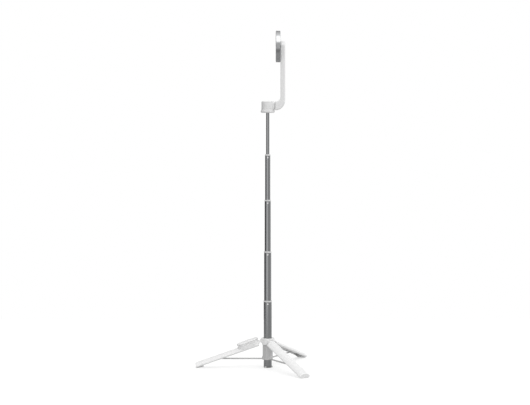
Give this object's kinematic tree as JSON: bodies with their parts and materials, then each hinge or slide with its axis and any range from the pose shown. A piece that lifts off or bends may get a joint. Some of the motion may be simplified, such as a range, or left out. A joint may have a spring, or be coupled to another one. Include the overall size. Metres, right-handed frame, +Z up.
{
  "type": "tripod selfie stick",
  "caption": "Telescoping selfie stick on a folding wire-braced tripod, with a magnetic phone disc on a folding arm and a pull-off shutter remote.",
  "frame": {"origin": "on the pole's axis, on the floor that the tripod stands on", "axes": "+Z up along the pole, -X the way the magnetic face looks and the leg with the remote points, +Y away from the viewer of the picture"},
  "size_m": [0.2047, 0.235, 0.6048],
  "materials": {
    "white_plastic": "satin white",
    "grey_plastic": "satin grey",
    "light_grey_plastic": "satin light grey",
    "tube_metal": "dark grey anodised tube",
    "wire_steel": "plain steel wire",
    "disc_metal": "polished grey rim",
    "pad_rubber": "grey rubber",
    "face_silicone": "soft white face",
    "inner_steel": "inner steel",
    "dark_washer": "dark friction washer",
    "board": "circuit board"
  },
  "bodies": {
    "hub": {"hub_collar": "white_plastic", "guide_sleeve": "grey_plastic", "grip_bush": "grey_plastic", "hinge_pin_1": "wire_steel", "hinge_pin_2": "wire_steel", "hinge_pin_3": "wire_steel"},
    "leg_1": {"leg_shell_1": "white_plastic", "foot_pad_1": "pad_rubber", "remote_cradle": "white_plastic"},
    "leg_2": {"leg_shell_2": "white_plastic", "foot_pad_2": "pad_rubber"},
    "leg_3": {"leg_shell_3": "white_plastic", "foot_pad_3": "pad_rubber"},
    "brace_1": {"brace_wire_1": "wire_steel"},
    "brace_2": {"brace_wire_2": "wire_steel"},
    "brace_3": {"brace_wire_3": "wire_steel"},
    "remote": {"remote_base": "white_plastic", "remote_cover": "white_plastic", "remote_board": "board", "remote_cell": "inner_steel"},
    "button": {"shutter_button": "light_grey_plastic"},
    "pole": {"outer_tube": "tube_metal", "pole_foot": "light_grey_plastic", "outer_bush": "white_plastic"},
    "section_2": {"section_2_tube": "tube_metal", "section_2_bush": "white_plastic", "section_2_stop": "light_grey_plastic"},
    "section_3": {"section_3_tube": "tube_metal", "section_3_bush": "white_plastic", "section_3_stop": "light_grey_plastic"},
    "section_4": {"section_4_tube": "tube_metal", "section_4_bush": "white_plastic", "section_4_stop": "light_grey_plastic"},
    "rod": {"top_rod": "tube_metal", "rod_stop": "light_grey_plastic", "head_flange": "white_plastic", "pan_spindle": "inner_steel"},
    "head": {"pan_washer": "dark_washer", "head_turret": "white_plastic", "turret_cap": "white_plastic", "arm_axle": "inner_steel", "neck_washer": "light_grey_plastic"},
    "arm": {"arm_body": "white_plastic", "disc_stud": "inner_steel"},
    "disc": {"disc_housing": "disc_metal", "disc_yoke": "inner_steel", "magnet_ring": "inner_steel", "face_pad": "face_silicone", "disc_washer": "inner_steel"}
  },
  "joints": [
    {"name": "pole_slide", "type": "slide", "parent": "hub", "child": "pole", "axis": [0, 0, -1], "range_m": [-0.0117, 0.064]},
    {"name": "section_2_slide", "type": "slide", "parent": "pole", "child": "section_2", "axis": [0, 0, -1], "range_m": [0, 0.0862]},
    {"name": "section_3_slide", "type": "slide", "parent": "section_2", "child": "section_3", "axis": [0, 0, -1], "range_m": [0, 0.0898]},
    {"name": "section_4_slide", "type": "slide", "parent": "section_3", "child": "section_4", "axis": [0, 0, -1], "range_m": [0, 0.0787]},
    {"name": "rod_slide", "type": "slide", "parent": "section_4", "child": "rod", "axis": [0, 0, -1], "range_m": [0, 0.0738]},
    {"name": "head_pan", "type": "hinge", "parent": "rod", "child": "head", "pos_m": [0, 0, 0.4664], "axis": [0, 0, 1], "continuous": true},
    {"name": "arm_fold", "type": "hinge", "parent": "head", "child": "arm", "pos_m": [0.0134, 0, 0.4715], "axis": [1, 0, 0], "range_deg": [0, 180]},
    {"name": "disc_spin", "type": "hinge", "parent": "arm", "child": "disc", "pos_m": [0.02, 0, 0.5768], "axis": [1, 0, 0], "continuous": true},
    {"name": "leg_1_fold", "type": "hinge", "parent": "hub", "child": "leg_1", "pos_m": [-0.0112, 0, 0.0486], "axis": [0, -1, 0], "range_deg": [0, 70.6]},
    {"name": "brace_1_swing", "type": "hinge", "parent": "hub", "child": "brace_1", "pos_m": [-0.0094, 0, 0.0162], "axis": [0, -1, 0], "range_deg": [0, 90]},
    {"name": "leg_2_fold", "type": "hinge", "parent": "hub", "child": "leg_2", "pos_m": [0.0056, -0.0097, 0.0486], "axis": [0.866, 0.5, 0], "range_deg": [0, 70.6]},
    {"name": "brace_2_swing", "type": "hinge", "parent": "hub", "child": "brace_2", "pos_m": [0.0047, -0.00814, 0.0162], "axis": [0.866, 0.5, 0], "range_deg": [0, 90]},
    {"name": "leg_3_fold", "type": "hinge", "parent": "hub", "child": "leg_3", "pos_m": [0.0056, 0.0097, 0.0486], "axis": [-0.866, 0.5, 0], "range_deg": [0, 70.6]},
    {"name": "brace_3_swing", "type": "hinge", "parent": "hub", "child": "brace_3", "pos_m": [0.0047, 0.00814, 0.0162], "axis": [-0.866, 0.5, 0], "range_deg": [0, 90]},
    {"name": "remote_pull", "type": "slide", "parent": "leg_1", "child": "remote", "axis": [-0.3322, 0, 0.9432], "range_m": [0, 0.02]},
    {"name": "shutter_press", "type": "slide", "parent": "remote", "child": "button", "axis": [0.3322, 0, -0.9432], "range_m": [0, 0.0006], "stiffness_N_per_m": 2500}
  ],
  "couplings": [
    {"joint": "brace_1_swing", "follows": "leg_1_fold", "ratio": 1.2747},
    {"joint": "brace_2_swing", "follows": "leg_2_fold", "ratio": 1.2747},
    {"joint": "brace_3_swing", "follows": "leg_3_fold", "ratio": 1.2747}
  ]
}
